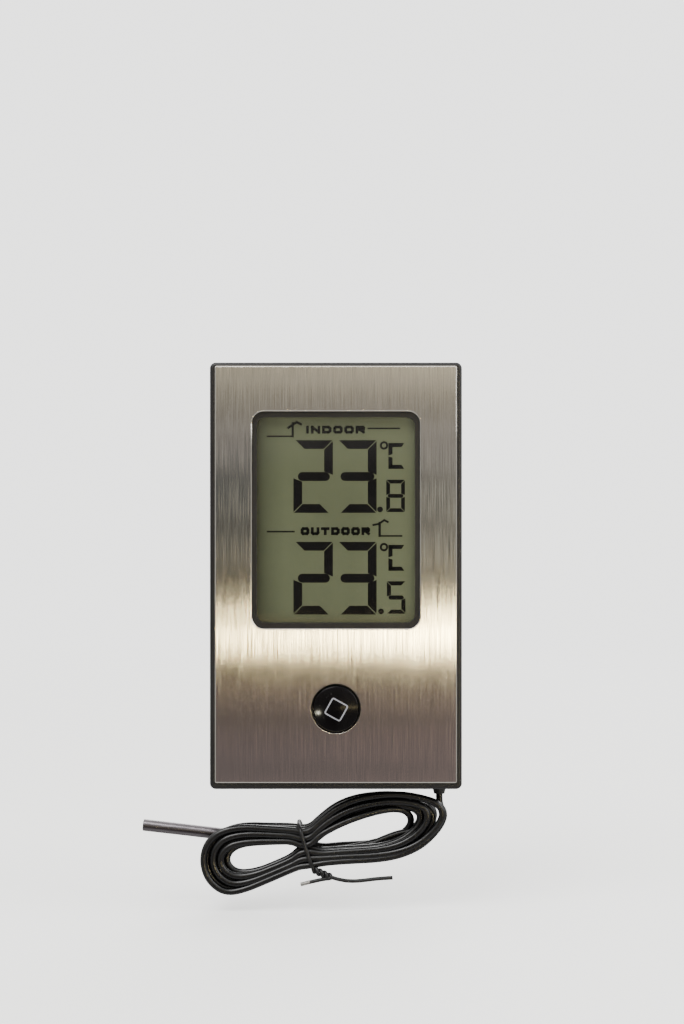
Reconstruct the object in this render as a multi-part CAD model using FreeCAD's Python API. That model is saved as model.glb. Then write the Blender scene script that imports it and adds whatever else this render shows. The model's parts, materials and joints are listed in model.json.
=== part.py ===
import FreeCAD, Part
import math
import os

V = FreeCAD.Vector

# Driving dimensions, in millimetres. The origin is the middle of the round entry of the wall
# keyhole, in the plane of the flat back. The front faces -Y, +Z is up, and +X is to the right
# as seen from the front.
CASE_W = 65.0
CASE_H = 110.0
CASE_D = 18.0  # flat back to the face of the front plate
WALL = 1.8  # side walls
BACK_T = 2.0
CORNER_R = 1.5
KEYHOLE_RISE = 38.0  # keyhole above the middle of the case
MID_Z = -KEYHOLE_RISE

PLATE_W = 62.3
PLATE_H = 107.3
PLATE_T = 0.8
PLATE_Z = MID_Z + 0.4  # the rim below the plate is a little wider than the rim above it
ADHESIVE_T = 0.15
WINDOW_W = 43.2  # cut-out of the front plate
WINDOW_H = 55.9
WINDOW_R = 3.1
WINDOW_Z = PLATE_Z + 14.0
SIGHT_W = 40.8  # opening of the housing behind it
SIGHT_H = 53.0
LENS_W = 44.5
LENS_H = 57.0
LENS_T = 1.2

BUTTON_Z = PLATE_Z - 34.5
BUTTON_R = 5.8
BUTTON_HOLE_R = 6.2  # in the plate
BUTTON_BACK_Y = -14.5  # where the cap bears on the switch's plunger

# Levels along Y, from the front to the back.
PLATE_Y = -CASE_D
SEAT_Y = PLATE_Y + PLATE_T + ADHESIVE_T
RIM_Y = SEAT_Y - 0.3
FRONT_IN_Y = SEAT_Y + 2.0
LENS_Y = SEAT_Y + 1.05
GLASS_Y = -14.3
BOARD_Y = -11.4
BOARD_T = 1.6
BOARD_BACK_Y = BOARD_Y + BOARD_T
SPLIT_Y = -9.0  # joint between the front housing and the rear cover

GLASS_W = 44.5
GLASS_H = 60.0
GLASS_T = 0.7
LEDGE = 2.0  # contact ledge of the front glass at its top and bottom

BOARD_HALF_W = 23.8
BOARD_LOW = MID_Z - 38.8
BOARD_HIGH = MID_Z + 51.5
BOARD_SCREWS = [(x, MID_Z + z) for x in (-19.0, 19.0) for z in (48.7, -22.5)]
CASE_SCREWS = [(x, MID_Z + z) for x in (-27.2, 27.2) for z in (48.5, -29.0)]
SCREW_WEB_Y = SPLIT_Y + 1.6  # where the case screws' heads bear

BAY_X = (-27.4, 22.8)  # battery bay, inside faces
BAY_Z = (MID_Z - 52.0, MID_Z - 40.4)
BAY_FLOOR_Y = -12.8
BAY_FLOOR_T = 0.8
CELL_R = 5.15
CELL_X = (-22.9, 20.6)
CELL_Y = -7.4
CELL_Z = (BAY_Z[0] + BAY_Z[1]) / 2

DOOR_T = 2.0
DOOR_GAP = 0.3
DOOR_PIN_R = 0.7
DOOR_PIVOT = (-1.0, BAY_Z[1] - 1.3)  # y, z

STAND_HALF_W = 13.7
STAND_T = 1.8
STAND_PIVOT = (-1.7, MID_Z + 20.0)  # y, z
STAND_DROP = 46.0  # pivot to the free end
STAND_PIN_R = 1.2
STAND_BARREL_R = 1.5
PIN_PLAY = 0.06

KEYHOLE_R = 4.25
KEYHOLE_SLOT_R = 2.1
KEYHOLE_SLOT_UP = 8.0

SELECTOR_X = -12.0
SELECTOR_Z = MID_Z - 35.3
SELECTOR_TRAVEL = 2.5

CORD_R = 0.9
EXIT_X = 27.3
EXIT_Y = -4.6
CASE_LOW = MID_Z - CASE_H / 2
GROMMET_TAIL_Z = CASE_LOW - 3.0

# The lead's hank, hung below the case. Its outline is given from the middle of the case.
HANK_Y = (-10.0, -3.2)
HANK_OUTLINE = [
    (8.0, -59.4), (18.0, -57.8), (25.5, -58.6), (29.6, -62.8), (28.2, -67.5), (23.2, -72.9),
    (14.0, -76.6), (2.0, -77.6), (-9.0, -78.9), (-18.0, -82.0), (-28.0, -85.2), (-34.2, -81.6),
    (-36.3, -75.0), (-33.5, -69.6), (-26.0, -66.6), (-16.0, -67.0), (-8.0, -66.2), (0.0, -62.9),
]
HANK_LEFT_EYE = [(-28.0, -75.6), (-24.0, -73.2), (-14.0, -73.4), (-14.0, -75.6), (-24.0, -78.3)]
HANK_RIGHT_EYE = [
    (-3.0, -69.2), (8.0, -65.2), (15.5, -63.6), (18.9, -66.2), (16.0, -70.2), (8.0, -71.8), (-2.0, -72.4),
]

PROBE_R = 1.55
PROBE_TIP = V(-51.4, -1.6, MID_Z - 66.9)
PROBE_TAIL = V(-26.2, -1.6, MID_Z - 69.8)

TIE_R = 0.42
TIE_MID = V(-7.7, -6.6, MID_Z - 72.8)


def box(x0, x1, y0, y1, z0, z1):
    return Part.makeBox(x1 - x0, y1 - y0, z1 - z0, V(x0, y0, z0))


def rod(radius, start, end):
    return Part.makeCylinder(radius, (end - start).Length, start, end - start)


def disc(radius, x, z, y0, y1):
    return rod(radius, V(x, y0, z), V(x, y1, z))


def along(edge, direction):
    return isinstance(edge.Curve, Part.Line) and abs(edge.tangentAt(edge.FirstParameter).dot(direction)) > 0.999


def slab(width, height, radius, y0, y1, z=0.0, x=0.0):
    """A plate with rounded corners, standing in the XZ plane."""
    block = box(x - width / 2, x + width / 2, y0, y1, z - height / 2, z + height / 2)
    return block.makeFillet(radius, [e for e in block.Edges if along(e, V(0, 1, 0))])


def edges_at(shape, y):
    return [e for e in shape.Edges if abs(e.BoundBox.YMin - y) < 1e-6 and abs(e.BoundBox.YMax - y) < 1e-6]


def soften(shape, y, radius):
    return shape.makeFillet(radius, edges_at(shape, y))


def bevel(shape, y, size):
    return shape.makeChamfer(size, edges_at(shape, y))


def fuse(first, *others):
    return first.multiFuse(list(others)).removeSplitter()


def corner_arc(before, corner, after, trim):
    """The tangent arc at a route's corner that takes trim off each of its runs."""
    back, on = (before - corner).normalize(), (after - corner).normalize()
    half = math.acos(max(-1.0, min(1.0, back.dot(on)))) / 2
    radius = trim * math.tan(half)
    middle = corner + (back + on).normalize() * (radius / math.sin(half) - radius)
    return corner + back * trim, middle, corner + on * trim, radius


def route(points, name):
    """Straight runs joined by the largest tangent arcs that they allow."""
    edges, at, radii = [], points[0], []
    for before, corner, after in zip(points, points[1:], points[2:]):
        trim = 0.45 * min((corner - before).Length, (after - corner).Length)
        enter, middle, leave, radius = corner_arc(before, corner, after, trim)
        edges += [Part.LineSegment(at, enter).toShape(), Part.Arc(enter, middle, leave).toShape()]
        radii.append(round(radius, 1))
        at = leave
    edges.append(Part.LineSegment(at, points[-1]).toShape())
    if radii:
        print(name, "arc radii in mm:", radii)
    return Part.Wire(edges)


def tube(points, radius, name):
    path = route(points, name)
    ring = Part.Wire([Part.Circle(points[0], points[1] - points[0], radius).toShape()])
    solid = path.makePipeShell([ring], True, True)
    share = solid.Volume / (math.pi * radius**2 * path.Length)
    print(name, "length in mm:", round(path.Length, 1), "volume over section x length:", round(share, 4))
    return solid


def closed_loop(points, trim):
    corners = [
        corner_arc(points[i - 1], points[i], points[(i + 1) % len(points)], trim) for i in range(len(points))
    ]
    edges = []
    for here, following in zip(corners, corners[1:] + corners[:1]):
        edges.append(Part.Arc(here[0], here[1], here[2]).toShape())
        edges.append(Part.LineSegment(here[2], following[0]).toShape())
    return Part.Wire(edges)


def sweep_closed(path, radius):
    """A tube round a closed path, made of its straight and arc pieces."""
    pieces = []
    for edge in path.Edges:
        start, ahead = edge.valueAt(edge.FirstParameter), edge.tangentAt(edge.FirstParameter)
        profile = Part.Wire([Part.Circle(start, ahead, radius).toShape()])
        pieces.append(Part.Wire([edge]).makePipeShell([profile], True, True))
    return fuse(*pieces)


def spline_prism(outline, y0, y1):
    curve = Part.BSplineCurve()
    curve.interpolate(Points=[V(x, y0, MID_Z + z) for x, z in outline], PeriodicFlag=True)
    return Part.Face(Part.Wire([curve.toShape()])).extrude(V(0, y1 - y0, 0))


# Front of the case.


def front_plate():
    plate = slab(PLATE_W, PLATE_H, 0.5, PLATE_Y, PLATE_Y + PLATE_T, PLATE_Z)
    window = slab(WINDOW_W, WINDOW_H, WINDOW_R, PLATE_Y - 1, PLATE_Y + PLATE_T + 1, WINDOW_Z)
    hole = disc(BUTTON_HOLE_R, 0, BUTTON_Z, PLATE_Y - 1, PLATE_Y + PLATE_T + 1)
    return bevel(plate.cut(window).cut(hole), PLATE_Y, 0.25)


def plate_adhesive():
    """Double-sided sheet, set back from the plate's edges."""
    y0, y1 = PLATE_Y + PLATE_T, SEAT_Y
    sheet = slab(PLATE_W - 2, PLATE_H - 2, 1.0, y0, y1, PLATE_Z)
    window = slab(WINDOW_W + 2, WINDOW_H + 2, WINDOW_R + 1, y0, y1, WINDOW_Z)
    return sheet.cut(window).cut(disc(BUTTON_HOLE_R + 1, 0, BUTTON_Z, y0, y1))


def front_housing():
    shell = bevel(soften(slab(CASE_W, CASE_H, CORNER_R, RIM_Y, SPLIT_Y, MID_Z), RIM_Y, 0.8), SPLIT_Y, 0.25)
    shell = shell.cut(slab(CASE_W - 2 * WALL, CASE_H - 2 * WALL, 0.8, FRONT_IN_Y, SPLIT_Y, MID_Z))
    shell = shell.cut(slab(PLATE_W + 0.3, PLATE_H + 0.3, 0.6, RIM_Y - 1, SEAT_Y, PLATE_Z))
    shell = shell.cut(slab(SIGHT_W, SIGHT_H, 2.2, RIM_Y, FRONT_IN_Y, WINDOW_Z))
    shell = shell.cut(slab(LENS_W + 0.3, LENS_H + 0.3, 2.4, LENS_Y, FRONT_IN_Y, WINDOW_Z))
    shell = shell.cut(disc(BUTTON_R + 0.2, 0, BUTTON_Z, RIM_Y, FRONT_IN_Y))
    posts = [disc(2.5, x, z, FRONT_IN_Y - 0.4, SPLIT_Y) for x, z in CASE_SCREWS]
    posts += [disc(2.3, x, z, FRONT_IN_Y - 0.4, BOARD_Y) for x, z in BOARD_SCREWS]
    shell = fuse(shell, *posts)
    for x, z in CASE_SCREWS:
        shell = shell.cut(disc(0.95, x, z, -15.6, SPLIT_Y))
    for x, z in BOARD_SCREWS:
        shell = shell.cut(disc(0.85, x, z, -15.6, BOARD_Y))
    return shell


def window_lens():
    return slab(LENS_W, LENS_H, 2.2, LENS_Y, LENS_Y + LENS_T, WINDOW_Z)


# Liquid crystal display.


def lcd_front_polarizer():
    return slab(GLASS_W - 1.5, GLASS_H - 5, 0.5, GLASS_Y - 0.2, GLASS_Y, WINDOW_Z)


def lcd_front_glass():
    return slab(GLASS_W, GLASS_H, 0.3, GLASS_Y, GLASS_Y + GLASS_T, WINDOW_Z)


def lcd_rear_glass():
    y = GLASS_Y + GLASS_T
    return slab(GLASS_W, GLASS_H - 2 * LEDGE, 0.3, y, y + GLASS_T, WINDOW_Z)


def lcd_reflector():
    y = GLASS_Y + 2 * GLASS_T
    return slab(GLASS_W - 1.5, GLASS_H - 5, 0.5, y, y + 0.25, WINDOW_Z)


def lcd_holder():
    """Frame that clamps the glass against its rubber contacts and the board."""
    frame = slab(GLASS_W + 2.9, GLASS_H + 3.2, 1.0, GLASS_Y - 0.45, BOARD_Y, WINDOW_Z)
    room = slab(GLASS_W + 0.4, GLASS_H + 0.4, 0.4, GLASS_Y - 0.05, BOARD_Y, WINDOW_Z)
    mouth = slab(GLASS_W - 1.1, GLASS_H - 4.6, 0.6, GLASS_Y - 0.45, GLASS_Y, WINDOW_Z)
    return frame.cut(room).cut(mouth)


def zebra_strips():
    """Two rubber strips of carbon layers from the glass's ledges to the board."""
    strips = []
    for side in (-1, 1):
        middle = WINDOW_Z + side * (GLASS_H / 2 - LEDGE / 2)
        strips.append(box(-20.5, 20.5, GLASS_Y + GLASS_T, BOARD_Y, middle - 0.8, middle + 0.8))
    return Part.makeCompound(strips)


# Circuit board and what is soldered to it.


def circuit_board():
    height = BOARD_HIGH - BOARD_LOW
    board = slab(2 * BOARD_HALF_W, height, 1.0, BOARD_Y, BOARD_BACK_Y, (BOARD_HIGH + BOARD_LOW) / 2)
    for x, z in BOARD_SCREWS:
        board = board.cut(disc(1.0, x, z, BOARD_Y, BOARD_BACK_Y))
    return board


def chip_blob():
    """Drop of epoxy over the bare chip."""
    radius, height = 6.5, 1.4
    ball_r = (radius**2 + height**2) / (2 * height)
    ball = Part.makeSphere(ball_r, V(0, BOARD_BACK_Y + height - ball_r, MID_Z + 10))
    return ball.common(disc(radius, 0, MID_Z + 10, BOARD_BACK_Y, BOARD_BACK_Y + height))


def quartz_crystal():
    y, x, z = BOARD_BACK_Y + 1.0, 10.5, MID_Z + 6
    parts = [rod(1.0, V(x, y, z), V(x, y, z + 6))]
    for side in (-0.45, 0.45):
        parts.append(rod(0.15, V(x + side, y, z - 1.2), V(x + side, y, z)))
        parts.append(rod(0.15, V(x + side, BOARD_BACK_Y, z - 1.2), V(x + side, y + 0.15, z - 1.2)))
    return fuse(*parts)


def indoor_thermistor():
    """Bead on two wires, held up to the vents."""
    x, y, z = 20.0, -5.6, MID_Z - 13.5
    legs = [rod(0.2, V(x + side, BOARD_BACK_Y, z), V(x + side, y, z)) for side in (-0.5, 0.5)]
    return fuse(Part.makeSphere(1.2, V(x, y, z)), *legs)


def smd_parts():
    """Chip resistors and capacitors in two short rows beside the chip."""
    parts = []
    for column, x in enumerate((-12.5, -9.5)):
        for row in range(4):
            z = MID_Z + 3 + 3.2 * row
            tall = 0.5 + 0.35 * column
            parts.append(box(x - 0.6, x + 0.6, BOARD_BACK_Y, BOARD_BACK_Y + tall, z, z + 2.0))
    return Part.makeCompound(parts)


def board_screws():
    screws = []
    for x, z in BOARD_SCREWS:
        head = soften(disc(1.8, x, z, BOARD_BACK_Y, BOARD_BACK_Y + 1.2), BOARD_BACK_Y + 1.2, 0.4)
        top = BOARD_BACK_Y + 1.2
        slots = fuse(
            box(x - 1.0, x + 1.0, top - 0.6, top, z - 0.2, z + 0.2),
            box(x - 0.2, x + 0.2, top - 0.6, top, z - 1.0, z + 1.0),
        )
        screws.append(fuse(head, disc(0.8, x, z, -15.4, BOARD_BACK_Y)).cut(slots))
    return Part.makeCompound(screws)


# Push button.


def switch_body():
    body = box(-3, 3, BOARD_Y - 1.6, BOARD_Y, BUTTON_Z - 3, BUTTON_Z + 3)
    return body.cut(disc(1.35, 0, BUTTON_Z, BOARD_Y - 1.6, BOARD_Y - 0.6))


def switch_plunger():
    return disc(1.3, 0, BUTTON_Z, BUTTON_BACK_Y, BOARD_Y - 1.3)


def button_cap():
    """Domed cap with a stem for the switch and a flange that the front wall holds back."""
    back, apex, dome = BUTTON_BACK_Y, PLATE_Y - 1.4, 0.9
    ball_r = (BUTTON_R**2 + dome**2) / (2 * dome)
    cap = disc(BUTTON_R, 0, BUTTON_Z, apex, back)
    cap = cap.common(Part.makeSphere(ball_r, V(0, apex + ball_r, BUTTON_Z)))
    cap = cap.makeFillet(0.35, [e for e in cap.Edges if e.BoundBox.YMax < PLATE_Y])
    cap = fuse(cap, disc(BUTTON_R + 1.0, 0, BUTTON_Z, FRONT_IN_Y + 0.05, back))
    hollow = disc(4.6, 0, BUTTON_Z, back - 3.4, back).cut(disc(1.8, 0, BUTTON_Z, back - 3.4, back))
    return cap.cut(hollow)


# Rear cover.


def cover_shell():
    shell = slab(CASE_W, CASE_H, CORNER_R, SPLIT_Y, 0, MID_Z)
    shell = bevel(soften(shell, 0, 1.4), SPLIT_Y, 0.25)
    inner_w, inner_h = CASE_W - 2 * WALL, CASE_H - 2 * WALL
    shell = shell.cut(slab(inner_w, inner_h, 0.8, SPLIT_Y, -BACK_T, MID_Z))
    tongue = slab(inner_w - 0.2, inner_h - 0.2, 0.7, SPLIT_Y - 1.5, SPLIT_Y + 1, MID_Z)
    root = slab(inner_w + 0.6, inner_h + 0.6, 0.7, SPLIT_Y, SPLIT_Y + 1, MID_Z)
    lip = tongue.fuse(root).cut(slab(inner_w - 2.0, inner_h - 2.0, 0.6, SPLIT_Y - 1.5, SPLIT_Y + 1, MID_Z))
    for x, z in CASE_SCREWS:
        lip = lip.cut(disc(2.7, x, z, SPLIT_Y - 1.5, SPLIT_Y))
    return fuse(shell, lip)


def battery_bay(cover):
    wall = 1.2
    x0, x1, z0, z1 = *BAY_X, *BAY_Z
    tray = box(x0 - wall, x1 + wall, BAY_FLOOR_Y - BAY_FLOOR_T, -BACK_T + 0.2, z0 - 1.0, z1 + wall)
    cover = fuse(cover, tray).cut(box(x0, x1, BAY_FLOOR_Y, 0.1, z0, z1))
    ledges = [box(x, x + 1.5, -DOOR_T - 1.2, -DOOR_T - 0.05, z0 - 0.2, z0 + 1.5) for x in (x0 - 0.1, x1 - 1.4)]
    cover = fuse(cover, *ledges)
    y, z = DOOR_PIVOT
    cover = cover.cut(rod(DOOR_PIN_R + PIN_PLAY, V(x0 - 1.0, y, z), V(x1 + 1.0, y, z)))
    for x in (BAY_X[0] + 0.1, BAY_X[1] - 0.8):  # the contacts' tabs pass through the upper wall
        cover = cover.cut(box(x - 0.1, x + 0.7, -8.1, -4.9, z1 - 0.1, z1 + wall + 0.1))
    return cover


def stand_recess(cover):
    y, z = STAND_PIVOT
    half, top, bottom = STAND_HALF_W + 0.3, z + STAND_BARREL_R + 0.4, z - STAND_DROP - 3
    cover = fuse(cover, box(-half - 2.2, half + 2.2, -4.6, -BACK_T + 0.2, bottom - 1.2, top + 1.2))
    cover = cover.cut(box(-half, half, -3.4, 0.1, bottom, top))
    return cover.cut(rod(STAND_PIN_R + PIN_PLAY, V(-half - 1.5, y, z), V(half + 1.5, y, z)))


def keyhole(cover):
    """Round entry for a screw's head, and a slot above it that drops over the shank."""
    low, high = -KEYHOLE_R - 2.2, KEYHOLE_SLOT_UP + 5.2
    cover = fuse(cover, box(-7.0, 7.0, -8.0, -BACK_T + 0.2, low, high))
    cover = cover.cut(box(-5.8, 5.8, -6.8, -BACK_T, low + 1.2, high - 1.2))
    cover = cover.cut(disc(KEYHOLE_R, 0, 0, -BACK_T, 0))
    slot = box(-KEYHOLE_SLOT_R, KEYHOLE_SLOT_R, -BACK_T, 0, 0, KEYHOLE_SLOT_UP)
    return cover.cut(slot).cut(disc(KEYHOLE_SLOT_R, 0, KEYHOLE_SLOT_UP, -BACK_T, 0))


def cover_openings(cover):
    for row in range(5):  # vents over the room sensor
        z = MID_Z - 9.5 - 2.4 * row
        cover = cover.cut(slab(8.0, 1.0, 0.45, -BACK_T - 0.1, 0.1, z, 21.5))
    slot_w = SELECTOR_TRAVEL + 3.6
    slot_x = SELECTOR_X + SELECTOR_TRAVEL / 2
    cover = cover.cut(slab(slot_w, 2.8, 0.6, -BACK_T - 0.1, 0.1, SELECTOR_Z, slot_x))
    cover = cover.cut(slab(slot_w + 2.4, 5.2, 1.2, -0.7, 0.1, SELECTOR_Z, slot_x))
    return cover.cut(rod(2.2, V(EXIT_X, EXIT_Y, CASE_LOW), V(EXIT_X, EXIT_Y, CASE_LOW + WALL)))


def rear_cover():
    cover = fuse(cover_shell(), *[disc(2.6, x, z, SPLIT_Y, -BACK_T + 0.2) for x, z in CASE_SCREWS])
    cover = cover_openings(keyhole(stand_recess(battery_bay(cover))))
    for x, z in CASE_SCREWS:
        cover = cover.cut(disc(1.2, x, z, SPLIT_Y, SCREW_WEB_Y)).cut(disc(2.15, x, z, SCREW_WEB_Y, 0))
    return cover


def case_screws():
    screws = []
    for x, z in CASE_SCREWS:
        top = SCREW_WEB_Y + 1.5
        head = soften(disc(1.95, x, z, SCREW_WEB_Y, top), top, 0.5)
        slots = fuse(
            box(x - 1.1, x + 1.1, top - 0.8, top, z - 0.25, z + 0.25),
            box(x - 0.25, x + 0.25, top - 0.8, top, z - 1.1, z + 1.1),
        )
        point = Part.makeCone(0.3, 0.9, 0.8, V(x, -15.3, z), V(0, 1, 0))
        screws.append(fuse(head, disc(0.9, x, z, -14.5, SCREW_WEB_Y), point).cut(slots))
    return Part.makeCompound(screws)


def table_stand():
    """Flap that swings out of the back to prop the case up on a table."""
    y, z = STAND_PIVOT
    drop = slab(2 * STAND_HALF_W, STAND_DROP, 0.9, y - STAND_T / 2, y + STAND_T / 2, z - STAND_DROP / 2)
    barrel = rod(STAND_BARREL_R, V(-STAND_HALF_W, y, z), V(STAND_HALF_W, y, z))
    pins = rod(STAND_PIN_R, V(-STAND_HALF_W - 1.4, y, z), V(STAND_HALF_W + 1.4, y, z))
    flap = fuse(drop, barrel, pins)
    panel = slab(2 * STAND_HALF_W - 6, STAND_DROP - 16, 2.0, y + STAND_T / 2 - 0.6, y + STAND_T / 2, z - 21)
    scoop = rod(9.0, V(0, y - 8.5, z - STAND_DROP - 1), V(0, y + 8.5, z - STAND_DROP - 1))
    nail = scoop.common(box(-6, 6, y + 0.3, y + 2, z - STAND_DROP - 1, z - STAND_DROP + 3))
    return flap.cut(panel).cut(nail)


def battery_door():
    """Flap over the bay, on two small pins, with a springy tongue and ribs for a thumb."""
    y, z = DOOR_PIVOT
    x0, x1, low = BAY_X[0] + DOOR_GAP, BAY_X[1] - DOOR_GAP, BAY_Z[0] + DOOR_GAP
    plate = box(x0, x1, -DOOR_T, 0, low, z)
    edge = rod(DOOR_T / 2, V(x0, y, z), V(x1, y, z))
    pins = rod(DOOR_PIN_R, V(x0 - 1.1, y, z), V(x1 + 1.1, y, z))
    door = fuse(plate, edge, pins)
    mid = (x0 + x1) / 2
    for x in (mid - 5.0, mid + 4.3):  # slots either side of the tongue
        door = door.cut(box(x, x + 0.7, -DOOR_T, 0, low, low + 4.5))
    for rib in range(4):
        height = low + 1.0 + 1.5 * rib
        door = door.cut(box(mid - 3.6, mid + 3.6, -0.35, 0, height, height + 0.6))
    return door


# Power.


def battery_core():
    """The battery's filling, inside its steel can."""
    can_wall = 0.25
    low, high = CELL_X[0] + can_wall, CELL_X[1] - can_wall
    return rod(CELL_R - can_wall, V(low, CELL_Y, CELL_Z), V(high, CELL_Y, CELL_Z))


def battery_can():
    can = rod(CELL_R, V(CELL_X[0], CELL_Y, CELL_Z), V(CELL_X[1], CELL_Y, CELL_Z))
    nub = rod(1.9, V(CELL_X[1], CELL_Y, CELL_Z), V(CELL_X[1] + 1.0, CELL_Y, CELL_Z))
    return fuse(can, nub).cut(battery_core())


def battery_sleeve():
    ends = V(CELL_X[0] + 0.3, CELL_Y, CELL_Z), V(CELL_X[1] - 0.2, CELL_Y, CELL_Z)
    return rod(CELL_R + 0.1, *ends).cut(rod(CELL_R, *ends))


def contact_spring():
    """Flat plate with a tab, and the spring that bears on the battery's flat end."""
    x = BAY_X[0] + 0.1
    plate = box(x, x + 0.4, -11.0, -3.4, CELL_Z - 4, CELL_Z + 4)
    tab = box(x, x + 0.4, -8.0, -5.0, CELL_Z, BAY_Z[1] + 2.1)
    wire_r, coil_r = 0.3, 2.9
    base = x + 0.4 + wire_r / 3  # its first turn is pressed into the plate
    pitch = (CELL_X[0] - wire_r - base) / 3
    coil = Part.makeHelix(pitch, 3 * pitch, coil_r)
    ring = Part.Wire([Part.Circle(V(coil_r, 0, 0), V(0, 1, 0), wire_r).toShape()])
    spring = Part.Wire(coil.Edges).makePipeShell([ring], True, True)
    spring.rotate(V(0, 0, 0), V(0, 1, 0), 90)
    spring.translate(V(base, CELL_Y, CELL_Z))
    return fuse(plate, tab, spring)


def contact_plate():
    """Spring plate with a dimple for the battery's nub, and a tab."""
    x = BAY_X[1] - 0.8
    plate = box(x, x + 0.4, -11.0, -3.4, CELL_Z - 4, CELL_Z + 4)
    tab = box(x, x + 0.4, -8.0, -5.0, CELL_Z, BAY_Z[1] + 2.1)
    dimple = Part.makeCone(1.4, 2.4, 0.4, V(CELL_X[1] + 1.0, CELL_Y, CELL_Z), V(1, 0, 0))
    return fuse(plate, tab, dimple)


def battery_lead_red():
    x, z = BAY_X[1] - 0.8, BAY_Z[1] + 1.8
    end = MID_Z - 31.5
    points = [
        V(x, -6.5, z), V(x - 3.2, -6.5, z), V(x - 5.8, -6.6, z + 2.8), V(x - 6.6, -7.6, end),
        V(x - 6.6, BOARD_BACK_Y, end),
    ]
    return tube(points, 0.5, "battery_lead_red")


def battery_lead_black():
    x, z = BAY_X[0] + 0.5, BAY_Z[1] + 1.8
    end = MID_Z - 33.5
    points = [V(x, -6.5, z), V(x + 3.4, -6.5, z), V(x + 5.6, -7.2, end), V(x + 5.6, BOARD_BACK_Y, end)]
    return tube(points, 0.5, "battery_lead_black")


# Scale selector.


def selector_body():
    body = box(SELECTOR_X - 4.2, SELECTOR_X + 4.2, BOARD_BACK_Y, -6.6, SELECTOR_Z - 1.8, SELECTOR_Z + 1.8)
    slot = box(SELECTOR_X - 1.6, SELECTOR_X + SELECTOR_TRAVEL + 1.6, -7.8, -6.6, SELECTOR_Z - 0.9, SELECTOR_Z + 0.9)
    return body.cut(slot)


def selector_knob():
    stem = box(SELECTOR_X - 1.4, SELECTOR_X + 1.4, -7.7, -0.5, SELECTOR_Z - 0.8, SELECTOR_Z + 0.8)
    for groove in (-0.8, 0.0, 0.8):
        x = SELECTOR_X + groove
        stem = stem.cut(box(x - 0.15, x + 0.15, -0.8, -0.5, SELECTOR_Z - 0.8, SELECTOR_Z + 0.8))
    return stem


# Sensor lead and probe.


def cable_grommet():
    def stage(low, high, r_low, r_high):
        start = V(EXIT_X, EXIT_Y, low)
        return Part.makeCone(r_low, r_high, high - low, start, V(0, 0, 1))

    inner = CASE_LOW + WALL
    collar = rod(2.6, V(EXIT_X, EXIT_Y, CASE_LOW - 0.8), V(EXIT_X, EXIT_Y, CASE_LOW))
    barrel = rod(2.2, V(EXIT_X, EXIT_Y, CASE_LOW), V(EXIT_X, EXIT_Y, inner))
    flange = rod(2.5, V(EXIT_X, EXIT_Y, inner), V(EXIT_X, EXIT_Y, inner + 1.0))
    tail = stage(GROMMET_TAIL_Z, CASE_LOW - 0.8, 1.4, 2.0)
    body = fuse(collar, barrel, flange, tail)
    return body.cut(rod(CORD_R + 0.02, V(EXIT_X, EXIT_Y, GROMMET_TAIL_Z), V(EXIT_X, EXIT_Y, inner + 1.0)))


def sensor_tail():
    """The lead inside the grommet and the case, as far as the board."""
    end = MID_Z - 27.0
    points = [
        V(EXIT_X, EXIT_Y, GROMMET_TAIL_Z), V(EXIT_X, EXIT_Y, MID_Z - 48.5), V(EXIT_X - 0.3, EXIT_Y - 0.4, MID_Z - 42.5),
        V(EXIT_X - 3.3, EXIT_Y - 1.4, MID_Z - 36.0), V(EXIT_X - 6.6, EXIT_Y - 1.7, MID_Z - 31.0),
        V(19.4, -6.7, end), V(19.4, BOARD_BACK_Y, end),
    ]
    return tube(points, CORD_R, "sensor_tail")


def strain_tie():
    """Small cable tie round the lead, inside the grommet, which can't be pulled out past it."""
    low = MID_Z - 51.6
    ring = rod(1.8, V(EXIT_X, EXIT_Y, low), V(EXIT_X, EXIT_Y, low + 2))
    head = box(EXIT_X - 1.3, EXIT_X + 1.3, EXIT_Y - 3.4, EXIT_Y - 0.5, low, low + 2)
    return fuse(ring, head).cut(rod(CORD_R + 0.02, V(EXIT_X, EXIT_Y, low), V(EXIT_X, EXIT_Y, low + 2)))


def sensor_lead():
    """The short stretch from the grommet into the hank."""
    return tube([V(EXIT_X, EXIT_Y, GROMMET_TAIL_Z), V(EXIT_X, EXIT_Y, GROMMET_TAIL_Z - 3.0)], CORD_R, "sensor_lead")


def sensor_hank():
    hank = spline_prism(HANK_OUTLINE, *HANK_Y)
    return hank.cut(spline_prism(HANK_LEFT_EYE, *HANK_Y)).cut(spline_prism(HANK_RIGHT_EYE, *HANK_Y))


def probe_lead():
    """The lead's last stretch, from behind the hank into the probe."""
    along_probe = (PROBE_TAIL - PROBE_TIP).normalize()
    second = PROBE_TAIL + along_probe * 5.2
    points = [PROBE_TAIL, second, second + V(5.6, -1.2, -0.4), second + V(10.8, -3.4, -0.6)]
    return tube(points, CORD_R, "probe_lead")


def probe_tube():
    tube_wall, closed_end = 0.3, 1.0
    back = (PROBE_TAIL - PROBE_TIP).normalize()
    steel = rod(PROBE_R, PROBE_TIP, PROBE_TAIL)
    steel = steel.makeFillet(0.35, [e for e in steel.Edges if e.BoundBox.XMax < PROBE_TIP.x + 1])
    return steel.cut(rod(PROBE_R - tube_wall, PROBE_TIP + back * closed_end, PROBE_TAIL))


def probe_thermistor():
    back = (PROBE_TAIL - PROBE_TIP).normalize()
    bead = rod(0.9, PROBE_TIP + back * 2.0, PROBE_TIP + back * 4.5)
    return fuse(bead, rod(0.5, PROBE_TIP + back * 4.5, PROBE_TAIL - back * 5))


def probe_seal():
    back = (PROBE_TAIL - PROBE_TIP).normalize()
    return rod(PROBE_R - 0.3, PROBE_TAIL - back * 5, PROBE_TAIL)


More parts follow.
